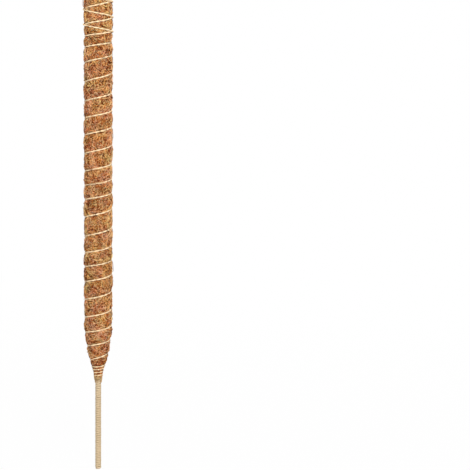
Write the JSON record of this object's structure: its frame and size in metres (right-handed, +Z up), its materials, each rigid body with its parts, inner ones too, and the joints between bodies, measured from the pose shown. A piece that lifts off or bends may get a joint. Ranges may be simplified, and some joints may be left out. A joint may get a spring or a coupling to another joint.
{
  "type": "moss pole",
  "caption": "Bendable coir moss pole: a cord-wrapped wire stake in a sleeve of coir fibre, bound round with thin twine.",
  "frame": {"origin": "centre of the flat lower end of the stake, on the pole's axis", "axes": "+Z up along the straight pole from the stake to the top; +X is the side that positive bends lean to; -Y faces the picture's camera"},
  "size_m": [0.0292, 0.0292, 0.454],
  "materials": {
    "coir": "matte",
    "twine": "matte",
    "wrap": "matte",
    "wire": "satin"
  },
  "bodies": {
    "foot": {"stake_wrap": "wrap", "core_wire_foot": "wire", "core_wrap_foot": "wrap", "coir_foot": "coir", "binding_twine_foot": "twine"},
    "lower": {"core_wire_lower": "wire", "core_wrap_lower": "wrap", "coir_lower": "coir", "binding_twine_lower": "twine"},
    "middle": {"core_wire_middle": "wire", "core_wrap_middle": "wrap", "coir_middle": "coir", "binding_twine_middle": "twine"},
    "upper": {"core_wire_upper": "wire", "core_wrap_upper": "wrap", "coir_upper": "coir", "binding_twine_upper": "twine"},
    "top": {"core_wire_top": "wire", "core_wrap_top": "wrap", "coir_top": "coir", "binding_twine_top": "twine"}
  },
  "joints": [
    {"name": "bend_1", "type": "hinge", "parent": "foot", "child": "lower", "pos_m": [0, 0, 0.169], "axis": [0, 1, 0], "range_deg": [-35, 35]},
    {"name": "bend_2", "type": "hinge", "parent": "lower", "child": "middle", "pos_m": [0, 0, 0.239], "axis": [0, 1, 0], "range_deg": [-35, 35]},
    {"name": "bend_3", "type": "hinge", "parent": "middle", "child": "upper", "pos_m": [0, 0, 0.309], "axis": [0, 1, 0], "range_deg": [-35, 35]},
    {"name": "bend_4", "type": "hinge", "parent": "upper", "child": "top", "pos_m": [0, 0, 0.379], "axis": [0, 1, 0], "range_deg": [-35, 35]}
  ]
}
